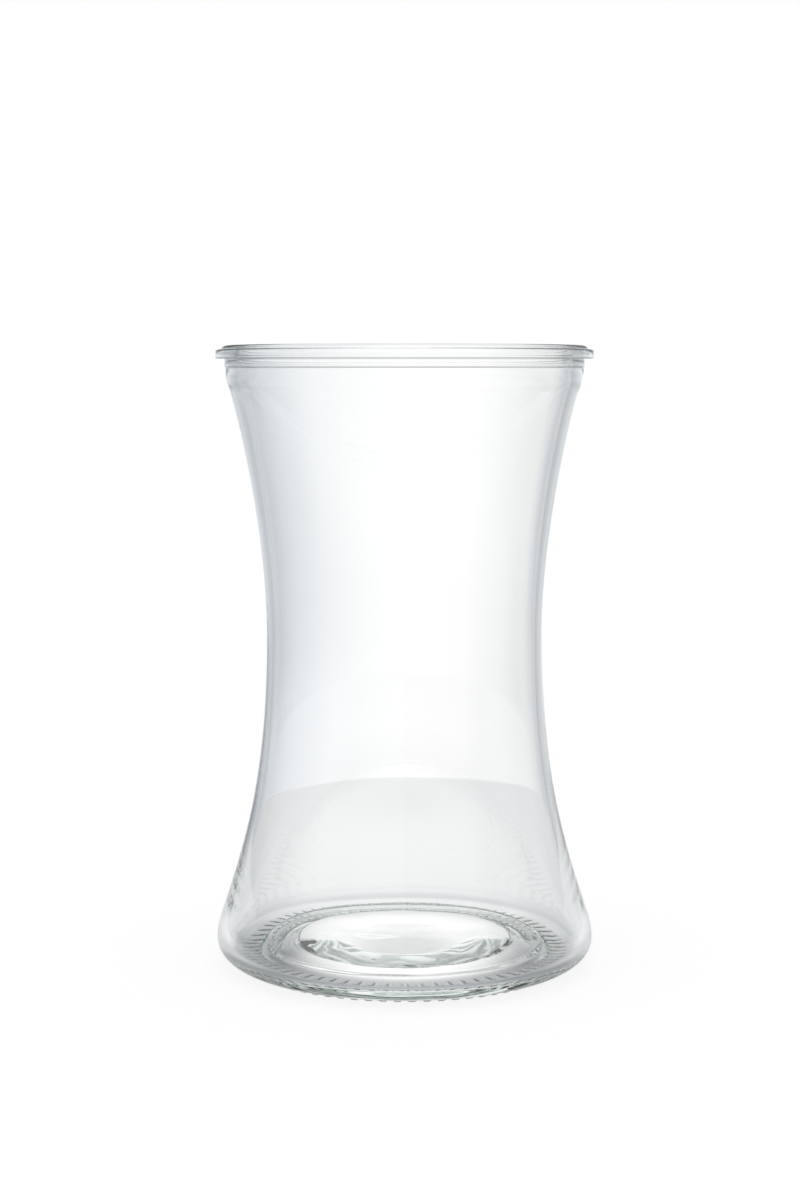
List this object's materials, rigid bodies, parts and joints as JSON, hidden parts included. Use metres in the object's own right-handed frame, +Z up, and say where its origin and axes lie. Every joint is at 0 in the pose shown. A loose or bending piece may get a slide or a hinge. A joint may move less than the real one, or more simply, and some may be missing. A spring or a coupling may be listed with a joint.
{
  "type": "hourglass vase",
  "caption": "Clear moulded glass vase with a waisted body, a flanged rim, a rounded heel and a knurled bearing ring, for holding cut flowers in water.",
  "frame": {"origin": "centre of the base, in the plane that the vase stands on", "axes": "+Z up along the vase's axis of revolution, towards the mouth; +X and +Y are any two square directions, as the vase is round"},
  "size_m": [0.122, 0.122, 0.2],
  "materials": {
    "clear_glass": "clear soda-lime glass, fire-polished, with a faint green tint in the thick base"
  },
  "bodies": {
    "root": {"glass_vase": "clear_glass"}
  },
  "joints": []
}
